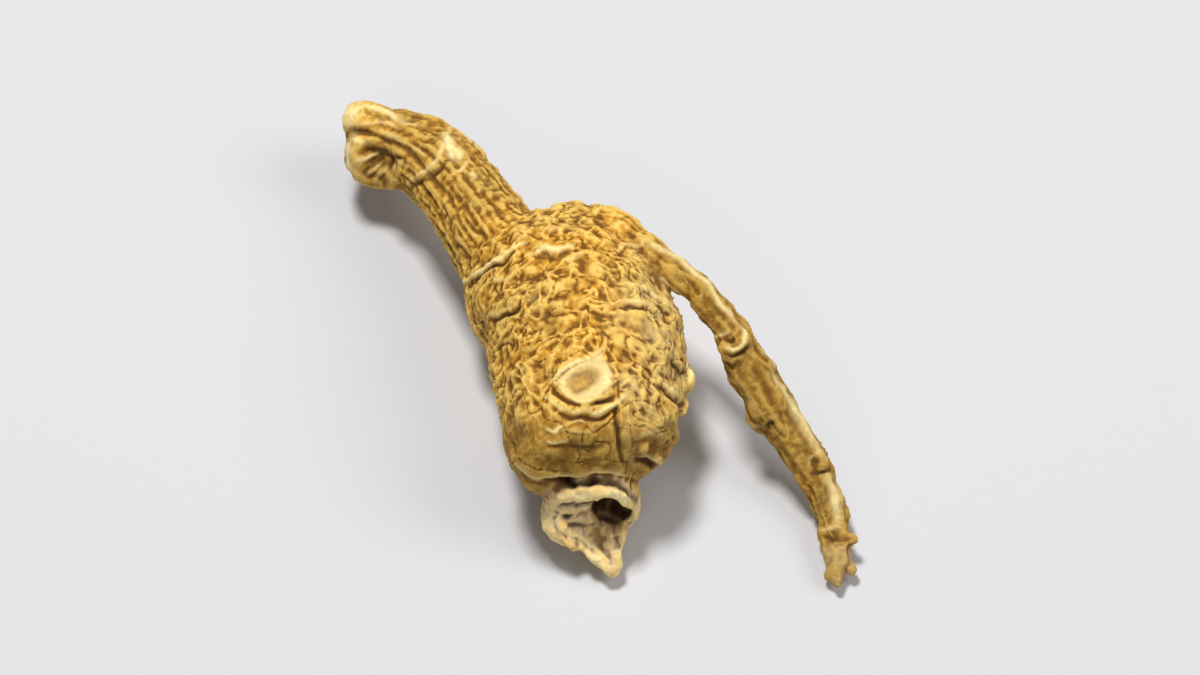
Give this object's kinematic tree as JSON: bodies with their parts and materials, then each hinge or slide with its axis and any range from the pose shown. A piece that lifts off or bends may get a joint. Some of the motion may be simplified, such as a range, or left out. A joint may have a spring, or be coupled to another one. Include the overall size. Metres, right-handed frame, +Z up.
{
  "type": "ginseng root",
  "caption": "Small dried ginseng root lying on its belly: plump wrinkled body, ribbed neck with a stem scar, broken tap-root stub and a long knotty rootlet.",
  "frame": {"origin": "middle of the box round the root, on the surface that it lies on", "axes": "+Z up, +Y towards the neck end, +X towards the side that the long rootlet leaves from"},
  "size_m": [0.0362, 0.0386, 0.0144],
  "materials": {
    "root_bark": "dry matt bark, golden ochre with brown creases and pale cream breaks"
  },
  "bodies": {
    "root": {"ginseng_root": "root_bark"}
  },
  "joints": []
}
